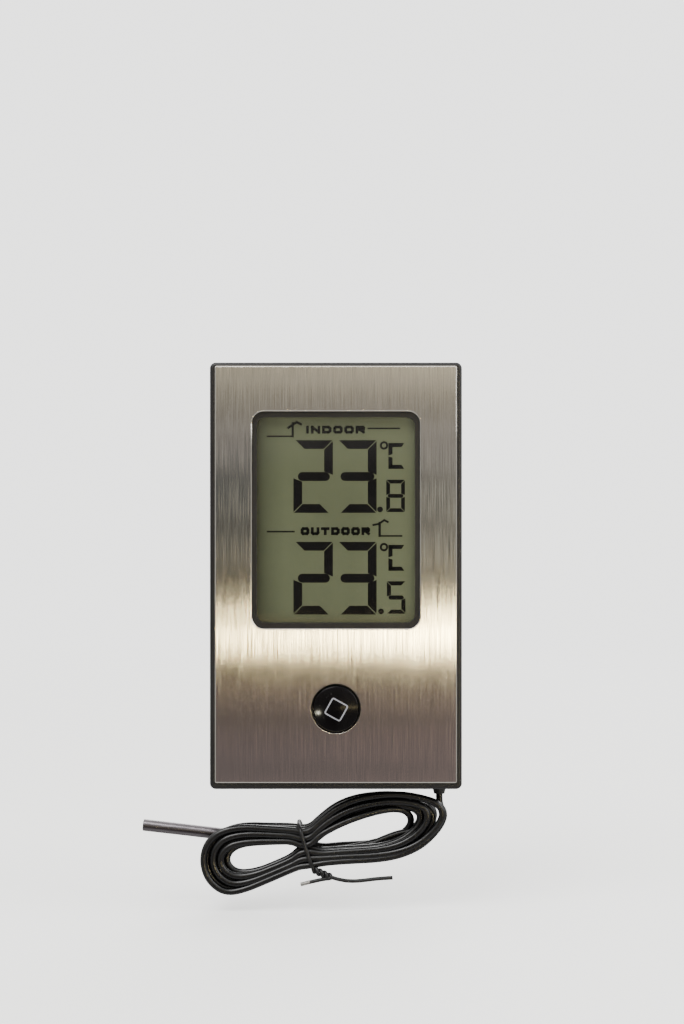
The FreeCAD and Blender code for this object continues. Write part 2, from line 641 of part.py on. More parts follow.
def twist_tie():
    """Plastic-covered wire round the hank's waist, twisted below it, with two free ends."""
    down, deep = V(1.85, 0, -6.75), V(0, 4.1, 0)
    corners = [
        TIE_MID + down + deep, TIE_MID - down + deep, TIE_MID - down - deep, TIE_MID + down - deep,
    ]
    path = closed_loop(corners, 2.4)
    loop = sweep_closed(path, TIE_R)
    knot_top, knot_end = V(-5.3, -10.0, MID_Z - 79.3), V(-1.2, -9.8, MID_Z - 81.1)
    knot = fuse(Part.makeSphere(0.8, knot_top), rod(0.8, knot_top, knot_end), Part.makeSphere(0.8, knot_end))
    right = [(-1.2, -9.8, -81.1), (3.2, -9.6, -82.1), (7.2, -9.5, -81.9), (10.9, -9.4, -81.4), (15.2, -9.3, -81.2)]
    left = [(-1.2, -9.8, -81.1), (-5.0, -9.9, -82.1), (-9.1, -9.8, -83.0)]
    ends = [tube([V(x, y, MID_Z + z) for x, y, z in points], TIE_R, "twist_tie end") for points in (right, left)]
    return fuse(loop, knot, *ends)


NODES = [
    front_plate, plate_adhesive, front_housing, window_lens,
    lcd_front_polarizer, lcd_front_glass, lcd_rear_glass, lcd_reflector, lcd_holder, zebra_strips,
    circuit_board, chip_blob, quartz_crystal, indoor_thermistor, smd_parts, board_screws,
    switch_body, switch_plunger, button_cap,
    rear_cover, case_screws, table_stand, battery_door,
    battery_core, battery_can, battery_sleeve, contact_spring, contact_plate, battery_lead_red, battery_lead_black,
    selector_body, selector_knob,
    cable_grommet, sensor_tail, strain_tie, sensor_lead, sensor_hank, probe_lead,
    probe_tube, probe_thermistor, probe_seal, twist_tie,
]


def main():
    os.makedirs("parts", exist_ok=True)
    for node in NODES:
        shape = node()
        solids = len(shape.Solids)
        if not shape.isValid() or solids == 0:
            print("problem:", node.__name__, "valid", shape.isValid(), "solids", solids)
        shape.exportStep(f"parts/{node.__name__}.step")
        print(node.__name__, solids, "solid(s)", round(shape.Volume, 1), "mm3")


main()
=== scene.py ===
import json
import math
import random

import bmesh
import bpy
from mathutils import Matrix, Vector


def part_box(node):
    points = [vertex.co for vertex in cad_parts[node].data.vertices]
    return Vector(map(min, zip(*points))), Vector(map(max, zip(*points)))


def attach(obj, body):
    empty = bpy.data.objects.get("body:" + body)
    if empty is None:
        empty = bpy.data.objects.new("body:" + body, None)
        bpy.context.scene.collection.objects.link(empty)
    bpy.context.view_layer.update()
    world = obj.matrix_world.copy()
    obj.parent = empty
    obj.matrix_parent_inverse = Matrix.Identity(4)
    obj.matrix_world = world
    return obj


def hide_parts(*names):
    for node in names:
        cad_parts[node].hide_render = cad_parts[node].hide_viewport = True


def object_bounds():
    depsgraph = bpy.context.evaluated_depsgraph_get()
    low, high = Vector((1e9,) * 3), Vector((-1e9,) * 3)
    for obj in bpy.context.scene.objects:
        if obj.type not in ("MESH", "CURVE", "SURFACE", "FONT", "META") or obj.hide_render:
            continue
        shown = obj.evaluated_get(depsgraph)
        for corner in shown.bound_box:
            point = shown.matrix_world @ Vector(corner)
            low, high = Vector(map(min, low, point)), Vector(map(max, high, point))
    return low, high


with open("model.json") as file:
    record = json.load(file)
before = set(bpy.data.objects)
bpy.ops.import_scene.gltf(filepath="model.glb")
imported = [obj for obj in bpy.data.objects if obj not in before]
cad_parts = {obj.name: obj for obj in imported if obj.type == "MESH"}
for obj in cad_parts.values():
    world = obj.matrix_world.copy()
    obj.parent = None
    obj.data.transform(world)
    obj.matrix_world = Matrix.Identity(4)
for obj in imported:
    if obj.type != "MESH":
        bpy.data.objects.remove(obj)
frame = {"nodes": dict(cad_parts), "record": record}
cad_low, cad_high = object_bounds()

MM = 0.001
nodes = frame["nodes"]

# Places that the frame gives, in metres. The front faces -Y.
plate_low, plate_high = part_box("front_plate")
cover_low, cover_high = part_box("rear_cover")
film_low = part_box("lcd_front_polarizer")[0]
cap_low, cap_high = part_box("button_cap")
PLATE_FACE = plate_low.y
PLATE_Z = (plate_low.z + plate_high.z) / 2
CASE_Z = (cover_low.z + cover_high.z) / 2
WINDOW_RISE = 14.0 * MM  # middle of the window above the middle of the plate
WINDOW_Z = PLATE_Z + WINDOW_RISE
BUTTON_Z = (cap_low.z + cap_high.z) / 2


def mm(x, y, z):
    """A point given in millimetres, with its height from the middle of the case."""
    return Vector((x * MM, y * MM, CASE_Z + z * MM))


# Camera.

CAMERA_DISTANCE = 0.45
LENS = 41.03
SENSOR_HEIGHT = 24.0
CAMERA_ASIDE = 1.57 * MM  # right of the middle of the plate
CAMERA_ABOVE = 16.05 * MM  # above the middle of the plate


def make_camera():
    data = bpy.data.cameras.new("camera")
    data.sensor_fit = "VERTICAL"
    data.sensor_height = SENSOR_HEIGHT
    data.lens = LENS
    camera = bpy.data.objects.new("camera", data)
    camera.location = (CAMERA_ASIDE, PLATE_FACE - CAMERA_DISTANCE, PLATE_Z + CAMERA_ABOVE)
    camera.rotation_euler = (math.pi / 2, 0, 0)
    bpy.context.scene.collection.objects.link(camera)
    bpy.context.scene.camera = camera


# Sensor lead: one spline from the grommet, round the hank's turns, to the probe.

CORD_D = 1.8
EXIT = (27.3, -4.6, -58.0)
PROBE_TAIL = (-26.2, -1.6, -69.8)
LAYER_Y = (-10.1, -8.54, -6.98, -5.42, -3.86)  # front layer first
BACK_Y = -2.0  # the last stretch runs behind every layer
WAIST_X = -8.0
WAIST_Z = -71.6
WAIST_REACH = 1.3  # how far the strands run straight either side of the waist's middle
GROMMET_FRONT_Y = -8.0
GROMMET_SIDE_X = 22.0  # the grommet's tail is further right than this
GROMMET_CLEAR_Z = -59.1
# Heights of the strands in the waist, layer by layer, from the outside in.
WAIST_TOP = ((4.5, 2.7, 0.9), (3.6, 1.8), (4.5, 2.7, 0.9), (3.6, 1.8, 0.0), (4.5, 2.7))
WAIST_LOW = ((-4.5, -2.7, -0.9), (-3.6, -1.8, 0.0), (-4.5, -2.7, -0.9), (-3.6, -1.8), (-4.5, -2.7))
# How far out the same strands run in the lobes: 1 on the outer outline, 0 on the inner one.
REACH_TOP = ((1.0, 0.63, 0.24), (0.84, 0.42), (0.98, 0.56, 0.12), (0.8, 0.46, 0.02), (1.0, 0.34))
REACH_LOW = ((1.0, 0.6, 0.2), (0.88, 0.44, 0.04), (0.95, 0.52, 0.1), (0.78, 0.36), (1.0, 0.3))

# Each lobe of the hank between its outermost and innermost strands, x and z.
LEFT_OUTER = (
    (-11.0, -76.8), (-17.5, -79.7), (-24.0, -82.5), (-28.9, -83.3), (-32.9, -80.4), (-34.6, -75.9),
    (-34.0, -71.4), (-31.6, -68.3), (-28.4, -66.8), (-24.0, -66.1), (-17.5, -66.5), (-11.6, -66.8),
)
LEFT_INNER = (
    (-11.5, -73.8), (-15.5, -75.6), (-20.0, -77.4), (-24.6, -78.1), (-27.3, -77.2), (-28.6, -75.2),
    (-28.0, -73.2), (-26.2, -71.8), (-23.4, -71.1), (-19.5, -70.9), (-15.5, -70.7), (-11.5, -70.6),
)
RIGHT_OUTER = (
    (-4.0, -64.4), (0.0, -60.9), (5.0, -58.5), (11.0, -57.3), (17.4, -57.0), (23.4, -58.2), (27.8, -59.8),
    (29.3, -62.4), (28.3, -65.2), (25.9, -68.2), (22.7, -71.0), (19.0, -72.8), (15.4, -73.9), (10.2, -74.6),
    (4.0, -74.8), (-2.7, -75.2),
)
RIGHT_INNER = (
    (-4.6, -69.4), (-1.0, -67.2), (2.6, -65.2), (6.6, -63.4), (10.4, -62.1), (14.6, -61.3), (18.0, -61.8),
    (19.8, -63.8), (19.6, -66.0), (18.1, -67.9), (15.6, -69.6), (12.6, -70.7), (8.8, -71.3), (4.6, -71.6),
    (0.2, -71.9), (-4.0, -72.4),
)
# The order in which the strands go through the waist: top or bottom, layer, place from the outside in.
WAIST_ORDER = (
    "B40 T40 B41 T41 B31 T32 B30 T31 B20 T30 B21 T20 B22 "
    "T21 B12 T22 B11 T11 B10 T10 B00 T00 B01 T01 B02 T02"
).split()

# Turns that cut across the eye of the right lobe, by the strand that they start from: how far they
# come in on their way out and on their way back.
INTO_EYE = {"T41": (1.8, 1.8), "T32": (0.0, 3.6)}
STAY_OUT = (0.0, 0.0)  # for all the other turns
SWELL, RISE = 0.45, 0.35  # the most that one turn strays outwards or upwards
# The front layer lies further out by the first number, and the layers behind it come back step by
# step, by the second number at the last. The same upwards, which the right lobe follows only in part.
OUTWARDS = (0.3, 0.7)
UPWARDS = (0.3, 0.9)
RIGHT_UPWARDS = 0.3
SLANT = 0.12  # each strand is this much lower at the waist's left, and higher at its right


def waist_strand(code):
    """Height in the waist, depth, and reach in the lobes, of one strand."""
    side, layer, place = code[0], int(code[1]), int(code[2])
    heights, reaches = (WAIST_TOP, REACH_TOP) if side == "T" else (WAIST_LOW, REACH_LOW)
    return WAIST_Z + heights[layer][place], LAYER_Y[layer], reaches[layer][place]


def lobe(outer, inner, start, end, draw, dip=0.0, into_eye=STAY_OUT):
    """Control points of one half turn, from the waist strand start to the waist strand end.

    into_eye is how far its way out and its way back come in towards the middle of the lobe.
    """
    (_, y0, u0), (_, y1, u1) = start, end
    swell = draw.uniform(-SWELL, SWELL)
    rise = draw.uniform(-RISE, RISE)
    points = []
    last = len(outer) - 1
    side = 1 if outer[len(outer) // 2][0] > WAIST_X else -1
    upwards = RIGHT_UPWARDS if side > 0 else 1.0
    for k, ((xo, zo), (xi, zi)) in enumerate(zip(outer, inner)):
        t = k / last
        free = math.sin(math.pi * t)
        u = u0 + (u1 - u0) * t - dip * free
        depth = y0 + (y1 - y0) * t * t * (3 - 2 * t)
        behind = (depth - LAYER_Y[0]) / (LAYER_Y[-1] - LAYER_Y[0])
        x = xi + (xo - xi) * u + side * free * (swell + OUTWARDS[0] - OUTWARDS[1] * behind)
        z = zi + (zo - zi) * u + free * (rise + (UPWARDS[0] - UPWARDS[1] * behind) * upwards)
        z += (-into_eye[0] if t < 0.5 else into_eye[1]) * math.sin(2 * math.pi * t) ** 2
        # Under the case, strands that are not in front of the grommet keep below its tail.
        if x > GROMMET_SIDE_X and depth > GROMMET_FRONT_Y:
            z = min(z, GROMMET_CLEAR_Z - 0.3 * u)
        points.append((x, depth, z))
    return points


def cord_points():
    """The lead's whole route, from the grommet through the hank's turns to the probe."""
    draw = random.Random(7)
    x, y, z = EXIT
    points = [EXIT, (x, y, z - 1.4), (x + 0.2, y + 0.1, z - 3.0), (x + 0.9, y + 0.4, z - 4.8)]
    strands = [waist_strand(code) for code in WAIST_ORDER]
    # Down the right side into the first strand of the waist.
    deep = LAYER_Y[-1]
    points += [(28.5, deep, -65.2), (26.3, deep, -68.4), (22.8, deep, -71.2), (18.6, deep, -73.2)]
    points += [(13.4, deep, -74.4), (7.6, deep, -74.9), (2.0, deep, -75.0), (-3.0, deep, -75.3)]
    for number, here in enumerate(strands):
        z, y, _ = here
        going_left = number % 2 == 0
        step, slant = (-WAIST_REACH, -SLANT) if going_left else (WAIST_REACH, SLANT)
        points.append((WAIST_X - step, y, z - slant))
        points.append((WAIST_X + step, y, z + slant))
        if number + 1 < len(strands):
            outlines = (LEFT_OUTER, LEFT_INNER) if going_left else (RIGHT_OUTER, RIGHT_INNER)
            into_eye = INTO_EYE.get(WAIST_ORDER[number], STAY_OUT)
            points += lobe(*outlines, here, strands[number + 1], draw, into_eye=into_eye)
    # The last turn dips through the right lobe's eye, and runs back behind the waist into the probe.
    points += lobe(RIGHT_OUTER, RIGHT_INNER, strands[-1], (0, BACK_Y, 0.1), draw, dip=0.2)
    points += [(-7.5, BACK_Y, -71.4), (-12.0, -1.95, -71.0), (-16.4, -1.8, -70.7), (-20.6, -1.65, -70.4)]
    points += [(-23.4, -1.6, -70.12), PROBE_TAIL]
    return points


def spline_object(name, points, radius):
    curve = bpy.data.curves.new(name, "CURVE")
    curve.dimensions = "3D"
    curve.bevel_depth = radius * MM
    curve.bevel_resolution = 5
    curve.resolution_u = 6
    curve.use_fill_caps = True
    spline = curve.splines.new("NURBS")
    spline.points.add(len(points) - 1)
    for point, place in zip(spline.points, points):
        point.co = (*mm(*place), 1.0)
    spline.order_u = 3
    spline.use_endpoint_u = True
    piece = bpy.data.objects.new(name, curve)
    bpy.context.scene.collection.objects.link(piece)
    return piece


# Twist tie: one plastic-covered wire round the waist, twisted with itself below it, and its two ends.

TIE_R = 0.5
TIE_FRONT_Y = -11.5
TIE_BACK_Y = -0.6
KNOT_START = Vector((-5.5, -10.9, -77.1))
KNOT_END = Vector((-1.2, -10.7, -79.1))
TWIST_R = 0.6
TWISTS = 1.75
TWIST_POINTS = 18
BARE_END_X, BARE_END_Z = -6.9, -79.8  # the wire shows its metal left of and below this place


def twist(phase):
    """Points of one of the two strands of the twisted stretch, from its top to its lower end."""
    direction = (KNOT_END - KNOT_START).normalized()
    aside = direction.cross(Vector((0, 1, 0))).normalized()
    across = direction.cross(aside)
    points = []
    for k in range(TWIST_POINTS + 1):
        t = k / TWIST_POINTS
        angle = phase + TWISTS * 2 * math.pi * t
        offset = (aside * math.cos(angle) + across * math.sin(angle)) * TWIST_R
        points.append(tuple(KNOT_START.lerp(KNOT_END, t) + offset))
    return points


def tie_points():
    """The tie's route: left tail, one strand of the twist, loop, the other strand, right tail."""
    front, back = TIE_FRONT_Y, TIE_BACK_Y
    middle = (front + back) / 2
    left_tail = [(-9.2, -10.4, -80.9), (-7.4, -10.6, -80.4), (-5.4, -10.8, -79.9), (-3.2, -10.9, -79.4)]
    right_tail = [
        (0.3, -10.4, -79.5), (2.6, -10.3, -80.0), (5.2, -10.2, -80.1), (8.0, -10.2, -79.8),
        (10.9, -10.3, -79.4), (14.8, -10.1, -79.2),
    ]
    loop = [
        (-6.1, front + 0.4, -76.2), (-6.8, front, -74.6), (-7.7, front, -72.0),
        (-8.6, front, -69.0), (-9.2, front + 0.2, -66.9), (-9.7, front + 2.0, -65.5),
        (-9.8, middle, -65.2), (-9.7, back - 2.2, -65.6), (-9.3, back - 0.2, -67.0),
        (-8.4, back, -69.4), (-7.5, back, -72.4), (-6.6, back, -75.2),
        (-6.0, back - 0.5, -77.2), (-5.8, back - 2.6, -78.0), (-5.7, middle, -78.1),
        (-5.6, front + 2.2, -77.9),
    ]
    return left_tail + twist(math.pi)[::-1] + loop + twist(0.0) + right_tail


# Mesh helpers.


def mesh_object(name, bm):
    mesh = bpy.data.meshes.new(name)
    bm.to_mesh(mesh)
    bm.free()
    piece = bpy.data.objects.new(name, mesh)
    bpy.context.scene.collection.objects.link(piece)
    return piece


def prism(bm, outline, y, thickness, base):
    """Adds a flat slab to bm, which reaches from y forwards by its thickness.

    The outline is in millimetres, with its heights above base. y, thickness and base are in metres.
    """
    front = [bm.verts.new((a * MM, y - thickness, base + b * MM)) for a, b in outline]
    back = [bm.verts.new((a * MM, y, base + b * MM)) for a, b in outline]
    bm.faces.new(front)
    bm.faces.new(list(reversed(back)))
    count = len(outline)
    for k in range(count):
        bm.faces.new((front[k], back[k], back[(k + 1) % count], front[(k + 1) % count]))


def ring(bm, radius, width, y, thickness, x, z, base, steps=28):
    """Adds a flat ring, as a run of short prisms. Its units are those of prism."""
    for k in range(steps):
        corners = []
        for r, step in ((radius, k), (radius, k + 1), (radius - width, k + 1), (radius - width, k)):
            angle = 2 * math.pi * step / steps
            corners.append((x + r * math.cos(angle), z + r * math.sin(angle)))
        prism(bm, corners, y, thickness, base)


def disc_outline(x, z, radius, steps=24):
    turn = 2 * math.pi / steps
    return [(x + radius * math.cos(k * turn), z + radius * math.sin(k * turn)) for k in range(steps)]


def line(start, end, width):
    """Outline of a straight stroke."""
    a, b = Vector(start), Vector(end)
    aside = (b - a).normalized().orthogonal() * width / 2
    along = (b - a).normalized() * width / 2
    return [tuple(p) for p in (a - along + aside, a - along - aside, b + along - aside, b + along + aside)]


# LCD segments. Sizes are in millimetres from the middle of the window.

INK_T = 0.03 * MM
DIGIT_H = 18.8
BAR = 2.25
# Digit, left edge, foot, width, height, width of a bar, and gap between bars.
LARGE_DIGITS = (
    ("2", -11.0, 1.84, 10.2, DIGIT_H, BAR, 0.22), ("3", 0.72, 1.84, 9.8, DIGIT_H, BAR, 0.22),
    ("2", -11.0, -24.5, 10.2, DIGIT_H, BAR, 0.22), ("3", 0.72, -24.5, 9.8, DIGIT_H, BAR, 0.22),
)
SMALL_DIGITS = (("8", 13.05, 2.05, 4.8, 8.35, 0.95, 0.14), ("5", 13.2, -24.3, 4.8, 8.4, 1.05, 0.14))
# The same, without the digit, of the unit's letter in each row.
UNIT_LETTERS = ((13.6, 13.23, 4.1, 6.7, 1.05, 0.28), (13.6, -13.17, 4.1, 6.7, 1.05, 0.28))
SIGN_R, SIGN_LINE = 1.08, 0.52  # degree rings
SIGNS = ((12.44, 19.3), (12.44, -7.05))
POINT_R = 0.73  # decimal points
POINTS = ((11.42, 2.72), (11.68, -23.7))
# Lines and arrows, upper row first: from, to and width.
STROKES = (
    ((8.4, 23.7), (16.4, 23.7), 0.4), ((-17.7, 21.66), (-11.2, 21.66), 0.4),
    ((-11.2, 21.66), (-11.2, 25.1), 0.55), ((-12.3, 23.9), (-10.2, 25.3), 0.6),
    ((-10.2, 25.3), (-9.1, 24.8), 0.6),
    ((-17.7, -3.03), (-10.9, -3.03), 0.4), ((11.32, -4.1), (11.32, -0.8), 0.6),
    ((11.32, -4.15), (17.0, -4.15), 0.4), ((9.7, -1.3), (11.1, -1.05), 0.5),
    ((11.1, -1.05), (12.5, -0.05), 0.5), ((12.5, -0.05), (13.4, -0.5), 0.5),
)
SEGMENTS = {"2": "abged", "3": "abgcd", "8": "abcdefg", "5": "afgcd"}
# How far the horizontal bars stop short of the digit's left and right edges, in widths of a bar.
TRIMS = {
    "2": {"a": (0.22, 0.0), "d": (0.0, 0.45), "g": (0.5, 0.34)},
    "3": {"a": (0.0, 0.0), "d": (0.2, 0.0), "g": (0.2, 0.24)},
}
PLAIN_TRIM = {"a": (0.0, 0.0), "d": (0.0, 0.0), "g": (0.4, 0.4)}
# Where an upright bar meets the middle one, it ends in a slanted shoulder. The shoulder's outer and
# inner ends are this far from the middle, in widths of a bar, and its inner end this far in, in halves.
SHOULDER_OUTER, SHOULDER_INNER, SHOULDER_IN = 0.1, 0.25, 0.7
MIDDLE_BAR = 1.02  # height of the middle bar, in widths of a bar
LETTER_BEVEL, LETTER_STEP = 0.7, 0.3  # slants of the unit letter's free ends, in widths of a bar


def stadium(x0, x1, z, height, steps=6):
    """Outline of a level bar with round ends."""
    radius = height / 2
    outline = []
    for centre, start in ((x1 - radius, -math.pi / 2), (x0 + radius, math.pi / 2)):
        for k in range(steps + 1):
            angle = start + math.pi * k / steps
            outline.append((centre + radius * math.cos(angle), z + radius * math.sin(angle)))
    return outline


def segment_outlines(digit, x, z, width, height, bar, gap):
    """The bars of a seven-segment digit whose lower left corner is at x, z."""
    tip = bar / 2
    left, right, low, high, middle = x, x + width, z, z + height, z + height / 2
    cut = gap / 2
    trim = TRIMS.get(digit, PLAIN_TRIM)
    (a0, a1), (d0, d1), (g0, g1) = [[bar * share for share in trim[key]] for key in "adg"]
    shapes = {
        "a": [
            (left + a0 + cut, high), (right - a1 - cut, high), (right - a1 - bar - cut, high - bar),
            (left + a0 + bar + cut, high - bar),
        ],
        "d": [
            (left + d0 + cut, low), (left + d0 + bar + cut, low + bar), (right - d1 - bar - cut, low + bar),
            (right - d1 - cut, low),
        ],
        "g": stadium(left + g0, right - g1, middle, bar * MIDDLE_BAR),
    }
    for key, edge, inside in (("f", left, 1), ("b", right, -1)):
        shapes[key] = [
            (edge, high - gap), (edge, middle + gap + SHOULDER_OUTER * bar),
            (edge + inside * tip * SHOULDER_IN, middle + gap + SHOULDER_INNER * bar),
            (edge + inside * bar, middle + tip + gap), (edge + inside * bar, high - bar - gap),
        ]
    for key, edge, inside in (("e", left, 1), ("c", right, -1)):
        shapes[key] = [
            (edge, low + gap), (edge + inside * bar, low + bar + gap),
            (edge + inside * bar, middle - tip - gap),
            (edge + inside * tip * SHOULDER_IN, middle - gap - SHOULDER_INNER * bar),
            (edge, middle - gap - SHOULDER_OUTER * bar),
        ]
    return [shapes[key] for key in SEGMENTS[digit]]


def unit_letter_outlines(x, z, width, height, bar, gap):
    """Outlines of a display's C: a bar and an upright above and the same below, with a gap between."""
    outlines = []
    middle = z + height / 2
    for edge, inwards in ((z + height, -1), (z, 1)):
        inner = edge + inwards * bar
        outlines.append([(x, edge), (x + width, edge), (x + width - LETTER_BEVEL * bar, inner), (x, inner)])
        end = middle - inwards * gap / 2
        step = end - inwards * LETTER_STEP * bar
        outlines.append([(x, edge), (x + bar, edge), (x + bar, step), (x, end)])
    return outlines


def make_segments():
    """Everything on the display apart from the two words."""
    bm = bmesh.new()
    outlines = []
    for digit in LARGE_DIGITS:
        outlines += segment_outlines(*digit)
    for letter in UNIT_LETTERS:
        outlines += unit_letter_outlines(*letter)
    for digit in SMALL_DIGITS:
        outlines += segment_outlines(*digit)
    outlines += [disc_outline(x, z, POINT_R) for x, z in POINTS]
    outlines += [line(*stroke) for stroke in STROKES]
    for outline in outlines:
        prism(bm, outline, film_low.y, INK_T, WINDOW_Z)
    for x, z in SIGNS:
        ring(bm, SIGN_R, SIGN_LINE, film_low.y, INK_T, x, z, WINDOW_Z)
    bmesh.ops.recalc_face_normals(bm, faces=bm.faces)
    return mesh_object("lcd_segments", bm)


# Block letters of the two captions, drawn as strokes on a grid 1 wide and 1 high.
LETTERS = {
    "I": [((0.5, 0), (0.5, 1))],
    "N": [((0, 0), (0, 1)), ((0, 1), (1, 0)), ((1, 0), (1, 1))],
    "D": [((0, 0), (0, 1)), ((0, 1), (0.75, 1)), ((0.75, 1), (1, 0.72)), ((1, 0.72), (1, 0.28)),
          ((1, 0.28), (0.75, 0)), ((0.75, 0), (0, 0))],
    "O": [((0.18, 0), (0.82, 0)), ((0.82, 0), (1, 0.25)), ((1, 0.25), (1, 0.75)), ((1, 0.75), (0.82, 1)),
          ((0.82, 1), (0.18, 1)), ((0.18, 1), (0, 0.75)), ((0, 0.75), (0, 0.25)), ((0, 0.25), (0.18, 0))],
    "R": [((0, 0), (0, 1)), ((0, 1), (0.85, 1)), ((0.85, 1), (1, 0.86)), ((1, 0.86), (1, 0.62)),
          ((1, 0.62), (0.85, 0.48)), ((0.85, 0.48), (0, 0.48)), ((0.5, 0.48), (1, 0))],
    "U": [((0, 1), (0, 0.22)), ((0, 0.22), (0.18, 0)), ((0.18, 0), (0.82, 0)), ((0.82, 0), (1, 0.22)),
          ((1, 0.22), (1, 1))],
    "T": [((0, 1), (1, 1)), ((0.5, 1), (0.5, 0))],
}

# Name, word, left, right, foot, height and weight of each caption.
CAPTIONS = (
    ("caption_indoor", "INDOOR", -7.8, 7.5, 22.38, 2.0, 0.68),
    ("caption_outdoor", "OUTDOOR", -9.1, 8.8, -3.92, 2.02, 0.72),
)
NARROW_LETTER = 0.35  # width of an I, in widths of the other letters
LETTER_SPACE = 0.2
STROKE_SHARE = 0.98  # strokes are this much of the letter's weight


def make_caption(name, text, x0, x1, z, height, weight):
    """One word of the display from x0 to x1, on a foot at z."""
    bm = bmesh.new()
    widths = [NARROW_LETTER if letter == "I" else 1.0 for letter in text]
    unit = (x1 - x0) / (sum(widths) + LETTER_SPACE * (len(text) - 1))
    x = x0
    for letter, width in zip(text, widths):
        inner_w, inner_h = width * unit - weight, height - weight
        for stroke in LETTERS[letter]:
            ends = []
            for across, up in stroke:
                ends.append((x + weight / 2 + across * inner_w, z + weight / 2 + up * inner_h))
            prism(bm, line(*ends, weight * STROKE_SHARE), film_low.y, INK_T, WINDOW_Z)
        x += (width + LETTER_SPACE) * unit
    bmesh.ops.recalc_face_normals(bm, faces=bm.faces)
    return mesh_object(name, bm)


# Printing either side of the selector, read from behind, where X runs to the left. In millimetres.

PRINT_T = 0.03
UNIT_W, UNIT_H, UNIT_LINE = 1.6, 2.2, 0.4
DEGREE_R, DEGREE_LINE, DEGREE_GAP = 0.55, 0.25, 0.3
UNIT_LOW = -36.4  # foot of the letters
UNIT_SLANT = 0.45  # cut corners of the C
UNIT_ARM_HEIGHT, UNIT_ARM = 0.52, 0.8  # the F's lower arm, as shares of its height and width
UNIT_STARTS = (("C", -16.0), ("F", -2.7))


def unit_outline(letter):
    w, h, t = UNIT_W, UNIT_H, UNIT_LINE
    if letter == "C":
        slant = UNIT_SLANT
        return [
            (w, h), (slant, h), (0, h - slant), (0, slant), (slant, 0), (w, 0), (w, t), (slant + t / 2, t),
            (t, slant + t / 2), (t, h - slant - t / 2), (slant + t / 2, h - t), (w, h - t),
        ]
    arm = UNIT_ARM_HEIGHT * h
    return [
        (0, 0), (0, h), (w, h), (w, h - t), (t, h - t), (t, arm + t / 2), (UNIT_ARM * w, arm + t / 2),
        (UNIT_ARM * w, arm - t / 2), (t, arm - t / 2), (t, 0),
    ]


def make_unit_marks():
    """Degrees Celsius on the side where the knob rests, degrees Fahrenheit on the other."""
    bm = bmesh.new()
    y, thickness = PRINT_T * MM, PRINT_T * MM
    for letter, start in UNIT_STARTS:
        top = UNIT_LOW + UNIT_H
        ring(bm, DEGREE_R, DEGREE_LINE, y, thickness, start - DEGREE_R, top - DEGREE_R, CASE_Z)
        edge = start - 2 * DEGREE_R - DEGREE_GAP
        prism(bm, [(edge - a, UNIT_LOW + b) for a, b in unit_outline(letter)], y, thickness, CASE_Z)
    bmesh.ops.recalc_face_normals(bm, faces=bm.faces)
    return mesh_object("unit_marks", bm)


# Button mark: an outlined square with round corners, printed on the dome.

MARK_SIDE = 4.75
MARK_LINE = 0.36
MARK_CORNER = 0.6
MARK_TURN = math.radians(-29)
MARK_STEPS = 8  # along each straight side, so that the mark follows the dome
MARK_SHIFT = Vector((0.1, -0.1))  # of its middle, in mm
MARK_LIFTS = (0.04 * MM, -0.03 * MM)  # its outer face above the dome, its hidden face below it
CAP_R = 5.8
CAP_DOME = 0.9


def rounded_square(side, radius, steps=6):
    half = side / 2 - radius
    outline = []
    for quarter, (cx, cz) in enumerate(((1, 1), (-1, 1), (-1, -1), (1, -1))):
        for k in range(steps + 1):
            angle = (quarter + k / steps) * math.pi / 2
            bend = Vector((math.cos(angle), math.sin(angle))) * radius
            outline.append(Vector((cx, cz)) * half + bend)
    return outline


def dome_y(x, z):
    """Depth of the cap's dome at a place in mm from its middle."""
    ball = (CAP_R**2 + CAP_DOME**2) / (2 * CAP_DOME)
    return cap_low.y + (ball - math.sqrt(ball**2 - x * x - z * z)) * MM


def make_mark():
    bm = bmesh.new()
    turn = Matrix.Rotation(MARK_TURN, 2)
    loops = []
    for side, radius in ((MARK_SIDE, MARK_CORNER), (MARK_SIDE - 2 * MARK_LINE, MARK_CORNER * 0.5)):
        outline = []
        corners = rounded_square(side, radius)
        for a, b in zip(corners, corners[1:] + corners[:1]):
            for k in range(MARK_STEPS):
                outline.append(turn @ a.lerp(b, k / MARK_STEPS) + MARK_SHIFT)
        loops.append(outline)
    rings = []
    for lift in MARK_LIFTS:
        for outline in loops:
            places = [(p.x * MM, dome_y(*p) - lift, BUTTON_Z + p.y * MM) for p in outline]
            rings.append([bm.verts.new(place) for place in places])
    outer, inner, low_outer, low_inner = rings
    for one, two in ((outer, inner), (low_outer, outer), (inner, low_inner), (low_inner, low_outer)):
        for k in range(len(one)):
            after = (k + 1) % len(one)
            bm.faces.new((one[k], one[after], two[after], two[k]))
    bmesh.ops.recalc_face_normals(bm, faces=bm.faces)
    return mesh_object("button_mark", bm)


# Materials.


def srgb(red, green, blue):
    def linear(value):
        value /= 255
        return value / 12.92 if value <= 0.04045 else ((value + 0.055) / 1.055) ** 2.4

    return (linear(red), linear(green), linear(blue), 1.0)


